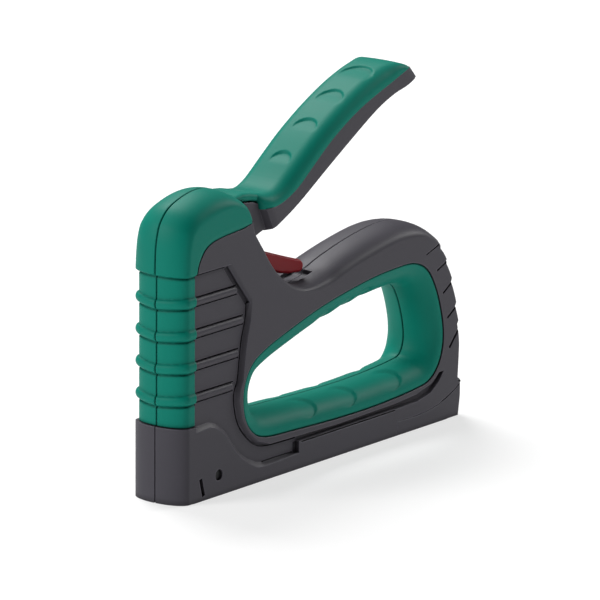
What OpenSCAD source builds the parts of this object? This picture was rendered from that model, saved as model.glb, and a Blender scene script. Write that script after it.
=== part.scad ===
// Hand staple gun with a lever handle, a closed hand loop and a pull-out staple magazine.
// Millimetres. The origin is the middle of the footprint on the work surface.
// +X runs from the nose to the rear, +Z is up, and the two shells part on the plane Y = 0.

/* [Body] */
// Length of the body from the nose to the rear foot
body_len = 203; // [170:0.1:244]
// Width across the two shells
body_w = 29.2; // [24.3:0.1:35]
// Height of the dome over the work surface
body_h = 133; // [110:0.1:160]
// Wall of the plastic shells
wall = 2.2; // [1.8:0.1:2.6]
// Thickness of the soft skin on the front and the dome
skin = 2.2; // [1.8:0.1:2.4]
// Depth by which the front wall lies behind the nose and the dome
front_step = 1; // [0.5:0.1:1.2]
// Height that the rounded loop grip stands out at the middle of the body
loop_bulge = 11; // [6:0.5:12]
// Radius of the crowned front, seen from above
front_crown = 22; // [18:1:30]
// Radius of the crowned rear, seen from above
rear_crown = 34; // [20:1:60]

/* [Handle] */
// Turn of the handle from raised to squeezed, in degrees
handle_turn = 24; // [16:1:25]
// Radius of the pin that the handle turns on
handle_pin_r = 2.5; // [2:0.1:3]
// Width of the steel arm inside the handle
arm_w = 5; // [4:0.5:6]

/* [Drive] */
// Thickness of the driver blade
blade_t = 1; // [0.8:0.1:1.2]
// Outer diameter of the power spring
power_spring_d = 13; // [10.5:0.1:16]
// Wire diameter of the power spring
power_wire_d = 1.8; // [1.4:0.1:2]

/* [Magazine] */
// Width of the core rail that the staples straddle
rail_w = 9; // [7.5:0.1:9.4]
// Thickness of the magazine's sheet steel
sheet_t = 0.9; // [0.8:0.1:1]
// Length of the pusher
pusher_len = 14; // [10:1:18]

/* [Fits] */
// Radial clearance of a pin in its bore
pin_fit = 0.05; // [0.03:0.01:0.08]
// Gap between pieces that slide past each other
slide_gap = 0.2; // [0.15:0.05:0.3]

/* [Hidden] */
$fn = 48;

// The outlines are drawn at the design size and stretched to the driving sizes.
kx = body_len / 203;
kz = body_h / 133;
function at(x, z) = [x * kx, z * kz];
function fitted(points) = [for (p = points) at(p.x, p.y)];

half_w = body_w / 2;
inner_half = half_w - wall;
neck_half = inner_half - 3.2;
handle_half = half_w - 1.6;
big = 400;

// Colours
charcoal = [0.27, 0.26, 0.29];
green = [0.0, 0.5, 0.4];
steel = [0.72, 0.73, 0.75];
dark_steel = [0.4, 0.4, 0.43];
red = [0.62, 0.06, 0.12];
black_rubber = [0.08, 0.08, 0.08];

// Side outlines as X, Z pairs, from the nose
FRONT_AND_DOME = [[0, 100], [0.4, 111], [1.6, 118], [4, 123.3], [9.6, 128.4], [19, 131.7], [28, 133],
    [36, 132.2], [43, 129.3], [48.6, 124.4], [51, 118]];
REAR_OF_COLUMN = [[52.4, 111.7], [58.2, 103.1], [63.9, 95.4], [70.7, 88.7], [80.3, 82.9], [91, 81],
    [104, 83.6], [115, 87], [134, 91.4], [154, 94.2], [168, 93.6], [178, 90.4], [186, 85]];
REAR_EDGE = [[190.6, 79], [194.5, 70], [198, 60], [200.4, 50], [202, 40], [202, 30], [201.4, 19]];
REAR_FOOT = [[203, 17.6], [203, 9], [201.4, 0]];
LOOP = [[60, 19], [80, 17.9], [110, 16.8], [140, 16.8], [168, 18.5], [178, 20.8], [184.2, 26.5], [187.2, 34],
    [187.6, 42], [185.6, 52], [181.4, 63], [175, 72], [165, 76.6], [150, 76.9], [130, 75.3], [100, 70.4],
    [75, 64], [60, 59.4], [50, 54.6], [44.6, 47.5], [42.8, 39], [44.6, 29.5], [50.6, 22.3]];
GRIP_EDGE = [[12, 101.4], [13.6, 107], [17, 111], [22, 112.9], [30, 114.1], [43.8, 115.6], [52, 118]];
CAP_EDGE = [[154, 6.6], [166, 6.2], [176, 6.8], [186, 8.6], [195, 12], [206, 17.6]];
HANDLE_LOW = [[65, 109.2], [82, 117.1], [104.7, 130.2], [127.5, 143.2], [141, 150.4], [152, 154.6],
    [162.2, 157], [168.6, 159.6]];
HANDLE_MID = [[60, 119.6], [70.8, 120.6], [82, 125], [93.3, 132.8], [104.6, 140.8], [116, 147.4],
    [127.4, 152.8], [138.9, 157], [150.5, 160.8], [162.4, 165.6]];
HANDLE_TOP = [[58, 127.2], [66, 126], [74, 128.4], [87, 137.4], [98.4, 145.2], [110, 152], [121, 157.6],
    [132.5, 162.6], [144, 166.4], [152, 168], [158, 167.8], [162.4, 166.4]];

// Places, as X, Z pairs
pivot = at(42, 112);
lock_pivot = at(56, 99.5);
screw_places = fitted([[28, 26], [36, 64], [34, 91], [68, 76], [140, 83.8], [194, 45]]);
nose_z = 34 * kz;
dome_z = 100 * kz;
ring_z = 44.6 * kz;
ring_pitch = 14.2 * kz;
cap_x = 154 * kx;

// Drive train
blade_x = 6.5;
plunger_x = blade_x + blade_t;
plunger_t = 2;
plunger_half = 7;
shelf_z = 50 * kz;
shelf_t = 3;
seat_z = 96 * kz;
seat_t = 3;
spring_x = plunger_x + plunger_t + power_spring_d / 2 + 1;
arm_tip_r = 2.5;
arm_len = pivot.x - 14.6;
tip = [pivot.x - arm_len * cos(handle_turn / 2), pivot.y - arm_len * sin(handle_turn / 2)];
tab_z = tip.y + arm_tip_r + pin_fit;
tab_t = 2.5;
tab_top = tab_z + tab_t;
tab_end = tip.x - 0.6;
tab_chamfer = 1.6;
lift = 2 * arm_len * sin(handle_turn / 2);
hub_r = 6.5;
collar_r = 15.4 * kz;

// Magazine
mag_top = 16.6 * kz - wall - 0.6;
channel_half = rail_w / 2 + 2.3;
rail_top = mag_top - 2.8;
rail_x0 = 9;
rail_x1 = body_len - 11;
channel_x0 = plunger_x + 0.4;
channel_x1 = cap_x - 4;
rod_z = rail_top / 2 + 0.6;
rod_r = 1;
pusher_x0 = rail_x0 + 0.5;

// Screws
screw_r = 1.5;
boss_r = 3.5;
head_r = 2.8;
head_t = 1.8;
pin_stub_r = 2.2;
stub_place = at(26, 9.4);

// A smooth line through points, with n steps between neighbours
function catmull(a, b, c, d, t) = 0.5 * (2 * b + (c - a) * t + (2 * a - 5 * b + 4 * c - d) * t * t
    + (3 * b - a - 3 * c + d) * t * t * t);
function curve(p, n = 3) = concat([for (i = [0:len(p) - 2]) for (k = [0:n - 1])
    catmull(p[max(i - 1, 0)], p[i], p[i + 1], p[min(i + 2, len(p) - 1)], k / n)], [p[len(p) - 1]]);
function closed_curve(p, n = 3) = [for (i = [0:len(p) - 1]) for (k = [0:n - 1])
    catmull(p[(i + len(p) - 1) % len(p)], p[i], p[(i + 1) % len(p)], p[(i + 2) % len(p)], k / n)];
function backwards(p) = [for (i = [len(p) - 1:-1:0]) p[i]];
function moved(p, d) = [for (q = p) q + d];

loop_path = closed_curve(fitted(LOOP), 2);

// Puts the nose at the front end of the footprint, whose middle is the origin
module from_nose() {
    translate([-body_len / 2, 0, 0]) children();
}

// Stands an X, Z outline up and gives it a thickness from y0 to y1
module slab(y0, y1) {
    translate([0, y1, 0]) rotate([90, 0, 0]) linear_extrude(y1 - y0) children();
}

// Round bar or bore across the body
module cross_bar(p, r, y0, y1) {
    translate([p.x, y1, p.y]) rotate([90, 0, 0]) cylinder(r = r, h = y1 - y0);
}

module box(x0, x1, y0, y1, z0, z1) {
    translate([x0, y0, z0]) cube([x1 - x0, y1 - y0, z1 - z0]);
}

// Round wire along a path of points
module wire(path, d, sides = 6) {
    n = len(path);
    function unit(v) = v / norm(v);
    points = [for (i = [0:n - 1]) let (t = unit(path[min(i + 1, n - 1)] - path[max(i - 1, 0)]),
        across = unit(cross(t, [0, 0, 1])), over = cross(across, t))
        for (j = [0:sides - 1]) let (a = 360 * j / sides)
            path[i] + d / 2 * (cos(a) * across + sin(a) * over)];
    sleeve = [for (i = [0:n - 2]) for (j = [0:sides - 1])
        let (k = (j + 1) % sides, here = i * sides, next = here + sides)
            each [[here + j, here + k, next + k], [here + j, next + k, next + j]]];
    start = [for (j = [sides - 1:-1:0]) j];
    end = [for (j = [0:sides - 1]) (n - 1) * sides + j];
    polyhedron(points, concat(sleeve, [start, end]), convexity = 10);
}

// Points of a helix about Z that climbs from z0 to z1
function helix(r, z0, z1, turns, steps) = [for (i = [0:turns * steps]) let (a = 360 * i / steps)
    [r * cos(a), r * sin(a), z0 + (z1 - z0) * i / (turns * steps)]];

// Spring wound about Z, standing on z = 0
module coil(r, d, height, turns, steps, sides) {
    wire(helix(r, d / 2, height - d / 2, turns, steps), d, sides);
}

// --- Outlines of the body ---

module side_outline() {
    polygon(fitted(concat([[0, 0]], curve(FRONT_AND_DOME), curve(REAR_OF_COLUMN), curve(REAR_EDGE),
        REAR_FOOT)));
}

module loop_outline() {
    polygon(loop_path);
}

module cap_outline(gap = 0) {
    polygon(concat([[cap_x - gap, -1], [cap_x - gap, 6.6 * kz + gap]],
        moved(curve(fitted(CAP_EDGE)), [0, gap]), [[body_len + 9, -1]]));
}

module frame_outline() {
    difference() {
        side_outline();
        loop_outline();
        cap_outline(slide_gap);
    }
}

// Seen from above: a crowned front and rear with flat sides
module plan_outline(inset) {
    intersection() {
        translate([0, -half_w + inset]) square([body_len, body_w - 2 * inset]);
        union() {
            translate([front_crown, 0]) circle(front_crown - inset, $fn = 96);
            translate([front_crown, -half_w]) square([body_len - front_crown - rear_crown, body_w]);
            translate([body_len - rear_crown, 0]) circle(rear_crown - inset, $fn = 96);
        }
    }
}

// Right half of the body's volume, with every face moved in by inset
module half_body(inset) {
    intersection() {
        slab(-half_w, 0) offset(delta = -inset) side_outline();
        translate([0, 0, -1]) linear_extrude(big) plan_outline(inset);
    }
}

module half_hollow(inset) {
    intersection() {
        slab(-half_w, 0.01) offset(delta = -inset) frame_outline();
        translate([0, 0, -1]) linear_extrude(big) plan_outline(inset);
    }
}

// Zone of the soft skin: the front wall and the dome
module skin_zone() {
    polygon(concat([[-5, nose_z], [11.6 * kx, nose_z], [11.6 * kx, dome_z]], curve(fitted(GRIP_EDGE)),
        [[60 * kx, 118 * kz], [60 * kx, 140 * kz], [-5, 140 * kz]]));
}

module neck_slot() {
    slab(-neck_half - 0.4, neck_half + 0.4) {
        translate(pivot) circle(collar_r + 1);
        polygon([pivot + [0, -12 * kz], pivot + [40 * kx, -12 * kz], pivot + [40 * kx, 30 * kz],
            pivot + [0, 30 * kz]]);
    }
}

module lever_slot() {
    box(50 * kx, 76 * kx, -5.6, 5.6, 92 * kz, 110 * kz);
}

// --- Shells ---

// Right shell: a thin wall with screw bosses, pin bosses, ribs and its share of every opening
module shell_half() {
    difference() {
        union() {
            difference() {
                half_body(0);
                slab(-big, big) loop_outline();
                slab(-big, big) cap_outline(slide_gap);
                difference() {
                    slab(-half_w - 1, 1) skin_zone();
                    half_body(skin);
                }
                half_hollow(wall + skin - 0.4);
                difference() {
                    half_hollow(wall);
                    slab(-half_w - 1, 1) offset(delta = wall) skin_zone();
                }
            }
            for (p = screw_places) cross_bar(p, boss_r, -inner_half - 0.1, 0);
            cross_bar(pivot, handle_pin_r + 3, -inner_half - 0.1, -neck_half - 0.3);
            cross_bar(lock_pivot, 4, -inner_half - 0.1, -5.4);
            bumper_rib();
            nose_rib();
        }
        cross_bar(pivot, handle_pin_r + pin_fit, -inner_half, 1);
        cross_bar(lock_pivot, 1.5 + pin_fit, -inner_half, 1);
        cross_bar(stub_place, pin_stub_r + pin_fit, -half_w - 1, 1);
        neck_slot();
        lever_slot();
        plunger_way();
        box(blade_x - 2, body_len + 1, -channel_half - slide_gap, 1, -1, mag_top + 0.2);
        box(blade_x - 2, plunger_x + 0.6, -plunger_half - 0.5, 1, -1, nose_z);
    }
}

// Room for the plunger's whole stroke
module plunger_way() {
    g = slide_gap;
    slab(-plunger_half - g, 1) polygon([[plunger_x - g, shelf_z - g], [tab_end + g, shelf_z - g],
        [tab_end + g, tab_top + lift + g], [plunger_x + tab_chamfer - g, tab_top + lift + g],
        [plunger_x - g, tab_top + lift - tab_chamfer + g]]);
}

// Shelf under the plunger's stop
module bumper_rib() {
    x0 = plunger_x + plunger_t + 1;
    box(x0, x0 + 16, -inner_half - 0.1, 0, shelf_z - 9, shelf_z - 6);
}

// Guides beside the nose plate
module nose_rib() {
    box(3.6, blade_x - 0.2, -plunger_half - 3, -plunger_half - 0.5, 2, nose_z - 2);
}

module shell_right() {
    color(charcoal) from_nose() difference() {
        shell_half();
        for (p = screw_places) cross_bar(p, screw_r + pin_fit, -inner_half + 1, 1);
    }
}

module shell_left() {
    color(charcoal) from_nose() difference() {
        mirror([0, 1, 0]) shell_half();
        for (p = screw_places) {
            cross_bar(p, screw_r + pin_fit, -1, big);
            cross_bar(p, head_r + pin_fit, half_w - head_t - 0.4, big);
        }
    }
}

module shell_screws() {
    color(steel) from_nose() for (p = screw_places) {
        cross_bar(p, screw_r, -inner_half + 1.2, half_w - head_t);
        difference() {
            cross_bar(p, head_r, half_w - head_t - 0.4, half_w - 0.3);
            translate([p.x, half_w, p.y]) rotate([90, 0, 0]) {
                linear_extrude(1.2) square([3.2, 0.8], center = true);
                linear_extrude(1.2) square([0.8, 3.2], center = true);
            }
        }
    }
}

// --- Soft grips ---

module front_grip_half() {
    difference() {
        intersection() {
            half_body(0);
            slab(-half_w - 1, 0) skin_zone();
        }
        half_body(skin);
        front_recess();
        neck_slot();
    }
}

// The front wall stands back between the nose and the dome, apart from four raised rings
module front_recess() {
    difference() {
        box(-1, 6, -half_w, 1, nose_z - 1, dome_z);
        translate([front_crown, 0, 0]) cylinder(r = front_crown - front_step, h = big, $fn = 96);
        box(6, front_crown, -half_w, 1, 0, big);
        for (i = [0:3]) box(-1, 7, -half_w, 1, ring_z + i * ring_pitch - 2, ring_z + i * ring_pitch + 2);
    }
}

module front_grip_right() {
    color(green) from_nose() front_grip_half();
}

module front_grip_left() {
    color(green) from_nose() mirror([0, 1, 0]) front_grip_half();
}

// Rounded liner of the hand loop, swept round the loop's edge
module loop_grip_half() {
    n = len(loop_path);
    steps = 5;
    edge = half_w - 0.4;
    section = concat([for (k = [0:steps]) let (a = 90 * k / steps) [loop_bulge * sin(a), -edge * cos(a)]],
        [[0, 0]]);
    m = len(section);
    function inward(i) = let (d = loop_path[(i + 1) % n] - loop_path[(i + n - 1) % n]) [-d.y, d.x] / norm(d);
    points = [for (i = [0:n - 1]) for (s = section)
        let (q = loop_path[i] + inward(i) * s.x) [q.x, s.y, q.y]];
    faces = [for (i = [0:n - 1]) for (j = [0:m - 1]) let (i2 = (i + 1) % n, j2 = (j + 1) % m)
        [i * m + j, i2 * m + j, i2 * m + j2, i * m + j2]];
    triangles = [for (f = faces) each [[f[0], f[1], f[2]], [f[0], f[2], f[3]]]];
    polyhedron(points, triangles, convexity = 6);
}

module loop_grip_right() {
    color(green) from_nose() loop_grip_half();
}

module loop_grip_left() {
    color(green) from_nose() mirror([0, 1, 0]) loop_grip_half();
}

// --- Nose and magazine ---

module nose_plate() {
    color(steel) from_nose()
        box(blade_x - 1.9, blade_x - 0.2, -plunger_half - 0.5, plunger_half + 0.5, 0, nose_z - 1);
}

module channel_pins() {
    color(dark_steel) from_nose() for (side = [-1, 1])
        cross_bar(stub_place, pin_stub_r, side < 0 ? -half_w + 1.2 : channel_half,
            side < 0 ? -channel_half : half_w - 1.2);
}

module magazine_channel() {
    color(steel) from_nose() difference() {
        box(channel_x0, channel_x1, -channel_half, channel_half, 0.3, mag_top);
        box(channel_x0 - 1, channel_x1 + 1, -channel_half + sheet_t, channel_half - sheet_t, -1,
            mag_top - sheet_t);
    }
}

module staple_rail() {
    half = rail_w / 2;
    color(steel) from_nose() difference() {
        box(rail_x0, rail_x1, -half, half, 0.8, rail_top);
        box(rail_x0 - 1, rail_x1 - 3, -half + sheet_t, half - sheet_t, -1, rail_top - sheet_t);
        box(rail_x0 - 1, cap_x - 12, -1.1, 1.1, rail_top - 2, rail_top + 1);
        translate([rail_x1 - 8, 0, rod_z]) rotate([0, 90, 0]) cylinder(r = rod_r, h = 6);
    }
}

module pusher_rod() {
    color(dark_steel) from_nose() translate([rail_x0 + 0.2, 0, rod_z]) rotate([0, 90, 0])
        cylinder(r = rod_r, h = rail_x1 - rail_x0 - 2.4);
}

module pusher() {
    half = rail_w / 2;
    color(dark_steel) from_nose() difference() {
        union() {
            difference() {
                box(pusher_x0, pusher_x0 + pusher_len, -half - 1.2, half + 1.2, 3.5, rail_top + 1.3);
                box(pusher_x0 - 1, pusher_x0 + pusher_len + 1, -half - slide_gap, half + slide_gap, -1,
                    rail_top + slide_gap);
            }
            box(pusher_x0 + 3, pusher_x0 + pusher_len, -0.9, 0.9, rod_z, rail_top + 1);
            box(pusher_x0 + 3, pusher_x0 + pusher_len, -2.6, 2.6, rod_z - 2.4, rod_z + 2.4);
        }
        translate([0, 0, rod_z]) rotate([0, 90, 0]) cylinder(r = rod_r + pin_fit, h = body_len);
    }
}

module pusher_spring() {
    x0 = pusher_x0 + pusher_len;
    color(steel) from_nose() translate([x0, 0, rod_z]) rotate([0, 90, 0])
        coil(1.7, 0.6, rail_x1 - 3.2 - x0, 36, 8, 4);
}

module magazine_cap() {
    color(charcoal) from_nose() difference() {
        intersection() {
            slab(-half_w, half_w) intersection() {
                side_outline();
                cap_outline();
            }
            translate([0, 0, -1]) linear_extrude(big) plan_outline(0);
        }
        box(cap_x - 1, rail_x1, -rail_w / 2, rail_w / 2, -1, rail_top);
        catch_pocket();
    }
}

module catch_pocket() {
    box(cap_x - 1, cap_x + 24, rail_w / 2 + 1, rail_w / 2 + 1.8, 1.2, 5.2);
}

// Leaf spring that holds the magazine home
module catch_spring() {
    y0 = rail_w / 2 + 1;
    color(steel) from_nose() {
        box(channel_x1 + 1, cap_x + 24, y0, y0 + 0.8, 1.4, 5);
        translate([channel_x1 + 3, y0 + 0.4, 1.4]) cylinder(r = channel_half - y0 - 0.4, h = 3.6);
    }
}

// --- Drive ---

// Steel carrier: a flat back, a shelf for the power spring and a tab that the arm lifts
module plunger() {
    color(dark_steel) from_nose() {
        slab(-plunger_half, plunger_half) polygon([[plunger_x, shelf_z],
            [spring_x + power_spring_d / 2, shelf_z], [spring_x + power_spring_d / 2, shelf_z + shelf_t],
            [plunger_x + plunger_t, shelf_z + shelf_t], [plunger_x + plunger_t, tab_z], [tab_end, tab_z],
            [tab_end, tab_top], [plunger_x + tab_chamfer, tab_top], [plunger_x, tab_top - tab_chamfer]]);
    }
}

module driver_blade() {
    color(steel) from_nose() box(blade_x, plunger_x, -5.8, 5.8, 0.5, shelf_z + 14 * kz);
}

module power_spring() {
    color(steel) from_nose() translate([spring_x, 0, shelf_z + shelf_t])
        coil((power_spring_d - power_wire_d) / 2, power_wire_d, seat_z - shelf_z - shelf_t, 9, 18, 8);
}

// Plate across the shells that the power spring pushes against
module spring_seat() {
    clear_half = half_w - wall - skin;
    color(steel) from_nose() {
        box(plunger_x + plunger_t + 0.6, spring_x + power_spring_d / 2 + 2, -clear_half, clear_half, seat_z,
            seat_z + seat_t);
        box(spring_x + 1, spring_x + power_spring_d / 2 + 2, -inner_half, inner_half, seat_z,
            seat_z + seat_t);
    }
}

module bumper() {
    color(black_rubber) from_nose()
        box(plunger_x + plunger_t + 1, plunger_x + plunger_t + 15, -8, 8, shelf_z - 6, shelf_z);
}

// --- Handle ---

module core_outline() {
    polygon(fitted(concat(curve(HANDLE_LOW), backwards(curve(HANDLE_MID)))));
}

// Hollow of the core, open below
module trough_outline() {
    intersection() {
        translate([-3, -3.5]) core_outline();
        square([156 * kx, big]);
    }
}

// Under-side of the handle: an upturned trough with two cheeks round the pivot
module handle_core() {
    trough = handle_half - 3;
    cheek = neck_half - 2.6;
    color(charcoal) from_nose() difference() {
        union() {
            slab(-handle_half, handle_half) core_outline();
            slab(-neck_half, -cheek) cheek_outline();
            slab(cheek, neck_half) cheek_outline();
        }
        slab(-trough, trough) trough_outline();
        cross_bar(pivot, handle_pin_r + pin_fit, -big / 2, big / 2);
        arm_pin_bores();
    }
}

module cheek_outline() {
    translate(pivot) circle(hub_r + 2.5);
    polygon([pivot + [0, hub_r + 2.5], at(61, 119), at(66, 118), at(66, 113.5), pivot + [2, -hub_r - 2]]);
}

module handle_grip() {
    color(green) from_nose() {
        slab(-handle_half, handle_half)
            polygon(fitted(concat(backwards(curve(HANDLE_MID)), curve(HANDLE_TOP))));
        slab(-neck_half, neck_half) collar_outline();
    }
}

// Collar that closes the slot in the dome
module collar_outline() {
    difference() {
        union() {
            intersection() {
                translate(pivot) circle(collar_r);
                translate(pivot + [-12 * kx, hub_r - 1]) square([14 * kx, big]);
            }
            polygon([pivot + [0, 6 * kz], pivot + [0, collar_r], at(50, 128.4), at(58, 127.2),
                at(60, 119.6)]);
        }
        translate(pivot) circle(hub_r + 3.5);
        offset(delta = 0.3) cheek_outline();
    }
}

arm_strip = fitted([[62, 112.2], [76, 116.1], [90, 123.8], [104, 133.6]]);
arm_strip_h = 3.8;
arm_pin_places = [for (i = [1, 2]) arm_strip[i]];

// Steel arm: lifts the plunger with its tip and carries the squeeze from the handle
module handle_arm() {
    color(steel) from_nose() difference() {
        slab(-arm_w / 2, arm_w / 2) {
            hull() {
                translate(tip) circle(arm_tip_r);
                translate(pivot) circle(hub_r - 2);
            }
            translate(pivot) circle(hub_r);
            difference() {
                polygon(concat([pivot + [0, -1]], moved(arm_strip, [0, -arm_strip_h / 2]),
                    backwards(moved(arm_strip, [0, arm_strip_h / 2])), [pivot + [0, hub_r]]));
                offset(delta = pin_fit) difference() {
                    core_outline();
                    trough_outline();
                }
            }
        }
        cross_bar(pivot, handle_pin_r + pin_fit, -big / 2, big / 2);
        arm_pin_bores();
    }
}

module arm_pin_bores() {
    for (p = arm_pin_places) cross_bar(p, 1 + pin_fit, -handle_half + 1.5, handle_half - 1.5);
}

module arm_pins() {
    color(steel) from_nose()
        for (p = arm_pin_places) cross_bar(p, 1, -handle_half + 1.6, handle_half - 1.6);
}

module handle_pin() {
    color(steel) from_nose() cross_bar(pivot, handle_pin_r, -inner_half + 0.1, inner_half - 0.1);
}

// Torsion spring on the handle's pin, with one leg up to the collar and one towards the dome
module return_spring() {
    d = 0.9;
    y0 = arm_w / 2 + 0.3;
    width = min(3.4 * d, neck_half - 2.9 - y0);
    r = handle_pin_r + 0.5 + d / 2;
    turns = 2.25;
    body = helix(r, d / 2, width - d / 2, turns, 16);
    color(steel) from_nose() translate([pivot.x, y0, pivot.y]) rotate([-90, 0, 0])
        wire(concat([[r, -7, d / 2]], body, [[-9, r, width - d / 2]]), d);
}

// --- Handle lock ---

module lock_lever() {
    color(red) from_nose() difference() {
        slab(-5, 5) hull() {
            translate(lock_pivot) circle(3, $fn = 32);
            translate(at(71, 95.4)) circle(2.6, $fn = 32);
            translate(at(95, 87.6)) circle(2.4, $fn = 32);
        }
        cross_bar(lock_pivot, 1.5 + pin_fit, -big / 2, big / 2);
    }
}

module lock_pin() {
    color(steel) from_nose() cross_bar(lock_pivot, 1.5, -inner_half + 0.1, inner_half - 0.1);
}

shell_right();
shell_left();
front_grip_right();
front_grip_left();
loop_grip_right();
loop_grip_left();
shell_screws();
nose_plate();
channel_pins();
magazine_channel();
staple_rail();
pusher();
pusher_rod();
pusher_spring();
magazine_cap();
catch_spring();
plunger();
driver_blade();
power_spring();
spring_seat();
bumper();
handle_core();
handle_grip();
handle_arm();
arm_pins();
handle_pin();
return_spring();
lock_lever();
lock_pin();
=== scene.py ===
import math

import bmesh
import bpy
from mathutils import Matrix, Vector


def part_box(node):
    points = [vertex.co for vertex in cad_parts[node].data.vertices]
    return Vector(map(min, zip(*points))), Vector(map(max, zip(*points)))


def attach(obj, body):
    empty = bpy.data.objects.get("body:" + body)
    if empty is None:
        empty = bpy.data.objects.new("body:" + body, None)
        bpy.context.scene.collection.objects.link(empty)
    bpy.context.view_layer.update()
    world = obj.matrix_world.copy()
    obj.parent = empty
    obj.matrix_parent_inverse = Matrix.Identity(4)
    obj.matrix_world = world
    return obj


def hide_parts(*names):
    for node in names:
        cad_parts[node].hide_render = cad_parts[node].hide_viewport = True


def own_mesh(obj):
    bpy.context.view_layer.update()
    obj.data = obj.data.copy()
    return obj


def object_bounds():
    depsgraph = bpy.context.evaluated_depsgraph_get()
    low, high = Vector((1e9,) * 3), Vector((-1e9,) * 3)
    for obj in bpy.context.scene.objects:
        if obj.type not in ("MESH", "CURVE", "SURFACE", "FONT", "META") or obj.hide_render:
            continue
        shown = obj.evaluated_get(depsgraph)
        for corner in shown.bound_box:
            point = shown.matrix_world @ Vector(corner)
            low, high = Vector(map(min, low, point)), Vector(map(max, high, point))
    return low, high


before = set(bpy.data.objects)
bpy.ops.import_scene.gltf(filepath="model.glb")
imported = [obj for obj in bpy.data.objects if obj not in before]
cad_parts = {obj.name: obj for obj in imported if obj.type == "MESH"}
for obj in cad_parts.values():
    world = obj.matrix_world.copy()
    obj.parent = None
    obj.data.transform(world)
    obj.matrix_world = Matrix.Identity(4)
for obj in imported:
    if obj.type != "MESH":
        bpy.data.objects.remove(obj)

bl_info = {
    "name": "Hand staple gun",
    "version": (1, 0, 0),
    "blender": (4, 5, 0),
    "location": "3D View > Sidebar > Staple Gun",
    "description": "Shells, soft grips, handle, lock lever and stage of a hand staple gun",
    "category": "Object",
}

CAD_LO, CAD_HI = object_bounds()
NOSE_X = CAD_LO.x  # the outlines below are in millimetres, measured from the nose

# --- Outlines as X, Z pairs in millimetres from the nose ---

FRONT_AND_DOME = [(0, 0), (0, 34), (0, 70), (0, 100), (0.4, 111), (1.6, 118), (4, 123.3), (9.6, 128.4),
                  (19, 131.7), (28, 133), (36, 132.2), (43, 129.3), (48.6, 124.4), (51, 118)]
REAR_OF_COLUMN = [(52.4, 111.7), (58.2, 103.1), (63.9, 95.4), (70.7, 88.7), (80.3, 82.9), (91, 81),
                  (104, 83.6), (115, 87), (134, 91.4), (154, 94.2), (168, 93.6), (178, 90.4),
                  (186, 85)]
REAR_EDGE = [(186, 85), (190.6, 79), (194.5, 70), (198, 60), (200.4, 50), (202, 40), (202, 30),
             (201.2, 18.4)]
NOTCHES = (82.6, 74.1, 65, 52.9, 43.7, 33)  # heights of the rear edge's steps
REAR_FOOT = [(203, 17.6), (203, 9), (201.6, 0)]
BOTTOM = [(190, 0), (150, 0), (100, 0), (50, 0), (9, 0)]
LOOP = [(60, 19), (80, 17.9), (110, 16.8), (140, 16.8), (168, 18.5), (178, 20.8), (184.2, 26.5),
        (187.2, 34), (187.6, 42), (185.6, 52), (181.4, 63), (175, 72), (165, 76.6), (150, 76.9),
        (130, 75.3), (100, 70.4), (75, 64), (60, 59.4), (50, 54.6), (44.6, 47.5), (42.8, 39),
        (44.6, 29.5), (50.6, 22.3)]
GRIP_EDGE = [(11.3, 100.6), (12.2, 104), (13.8, 107), (17, 110.6), (22, 112.8), (30, 114),
             (43.8, 115.1), (52, 117.3)]
CAP_EDGE = [(154, 6.6), (166, 6.2), (176, 6.8), (186, 8.6), (195, 12), (206, 17.6)]
HANDLE_LOW = [(65, 109.2), (82, 117.1), (104.7, 130.2), (127.5, 143.2), (141, 150.4), (152, 154.6),
              (162.2, 157), (168.6, 159.6)]
HANDLE_MID = [(60, 119.6), (70.8, 120.6), (82, 125), (93.3, 132.8), (104.6, 140.8), (116, 147.4),
              (127.4, 152.8), (138.9, 157), (150.5, 160.8), (163.4, 165.2)]
HANDLE_TOP = [(58, 127.2), (66, 126), (74, 128.4), (87, 137.4), (98.4, 145.2), (110, 152), (121, 157.6),
              (132.5, 162.6), (144, 166.4), (152, 168), (158, 167.8), (163.6, 166)]
# Edge of the sunk side panel, which runs on as a groove under the loop
PANEL = [(10.9, 33.3), (20, 33.6), (25, 32.3), (30, 29.3), (34, 25.3), (38, 19.9), (43, 15), (48, 11.6),
         (54, 8.8), (60, 7.7), (82, 7.7), (82, 12.9), (152, 12.9), (168, 13.2), (178, 15.2),
         (184, 19.3), (187, 22.6), (184.6, 22.4), (177.6, 17.4), (168, 15.3), (152, 14.6), (110, 14),
         (60, 15.4), (53, 17.4), (46.4, 22.6), (41.4, 29.5), (39, 39), (39.6, 44), (41.6, 48.4),
         (43, 58), (44.4, 66), (46.8, 74), (47.2, 80.4), (31.4, 100.6), (10.9, 100.6)]
PANEL_TOP_WALL = [(32.2, 99.7), (39, 91), (47.3, 80.9)]
PANEL_BACK = [(46.9, 81.2), (46.2, 74), (43.8, 66), (42.4, 58), (41, 48.4), (39, 44), (38.4, 39),
              (40.8, 29.5), (46, 22.4), (52.8, 17.2), (60, 15.1), (70, 14.5), (82, 14.3)]
LOOP_LINE = [(58, 15.3), (70, 14.5), (84, 14.2), (110, 14), (152, 14.4), (168, 15.2), (177.6, 17.3),
             (185.4, 22.8)]
LEVER_SLOT = [(50, 90), (62, 88.6), (72, 86.3), (80.3, 81.5), (91, 79.5), (100, 80.5), (102.8, 81.4),
              (103.4, 84.5), (104, 95), (76, 112), (50, 112)]
RINGS = (45, 59.2, 73.4, 87.6)  # heights of the front wall's rings
RIBS = ((46.2, 37.6), (60.2, 41.2), (74.4, 44.6), (88.4, 40.2))  # height and rear end of the side ribs
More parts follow.
